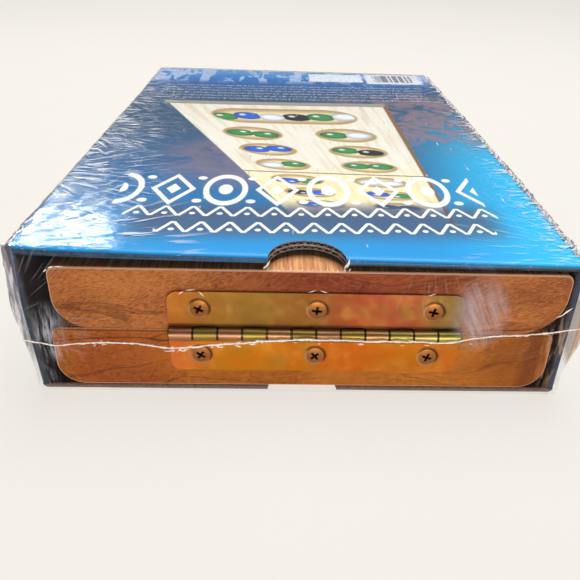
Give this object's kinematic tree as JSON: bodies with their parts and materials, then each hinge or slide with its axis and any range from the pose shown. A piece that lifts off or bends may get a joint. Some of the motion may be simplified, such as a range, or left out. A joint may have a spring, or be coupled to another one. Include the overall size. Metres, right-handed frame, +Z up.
{
  "type": "folding mancala board in a slipcase",
  "caption": "Folding wooden mancala board with a surface hinge and glass stones, packed in a printed card slipcase and clear shrink film.",
  "frame": {"origin": "middle of the underside of the wrapped pack", "axes": "+X across the board, +Y from the hinge end to the closed back of the slipcase, +Z up"},
  "size_m": [0.1504, 0.2318, 0.0464],
  "materials": {
    "printed_card": "gloss printed E-flute card",
    "inner_card": "matte card",
    "film": "clear wrinkled shrink film",
    "wood_lower": "sanded and oiled end grain",
    "wood_upper": "sanded and oiled end grain",
    "yellow_zinc": "yellow passivated zinc plate",
    "bright_steel": "bright steel",
    "screw_zinc": "yellow passivated zinc plate",
    "glass_white": "glossy milky glass",
    "glass_black": "glossy dark glass",
    "glass_blue": "glossy clear blue glass",
    "glass_green": "glossy clear green glass"
  },
  "bodies": {
    "slipcase": {"sleeve_top": "printed_card", "sleeve_hem": "inner_card", "sleeve_bottom": "printed_card", "sleeve_side_left": "printed_card", "sleeve_side_right": "printed_card", "sleeve_hem_left": "inner_card", "sleeve_hem_right": "inner_card", "sleeve_back": "printed_card", "film_wrap": "film", "film_bottom": "film"},
    "lower_half": {"lower_board": "wood_lower", "hinge_leaf_lower": "yellow_zinc", "hinge_pin": "bright_steel", "screw_lower_left": "screw_zinc", "screw_lower_middle": "screw_zinc", "screw_lower_right": "screw_zinc", "stones_white": "glass_white", "stones_black": "glass_black", "stones_blue": "glass_blue", "stones_green": "glass_green", "film_front": "film"},
    "upper_half": {"upper_board": "wood_upper", "hinge_leaf_upper": "yellow_zinc", "screw_upper_left": "screw_zinc", "screw_upper_middle": "screw_zinc", "screw_upper_right": "screw_zinc"}
  },
  "joints": [
    {"name": "board_slide", "type": "slide", "parent": "slipcase", "child": "lower_half", "axis": [0, -1, 0], "range_m": [0, 0.23]},
    {"name": "board_fold", "type": "hinge", "parent": "lower_half", "child": "upper_half", "pos_m": [0.0031, -0.11285, 0.02075], "axis": [1, 0, 0], "range_deg": [0, 180], "deforming": ["sleeve_top", "sleeve_hem", "film_wrap", "film_front"]}
  ]
}
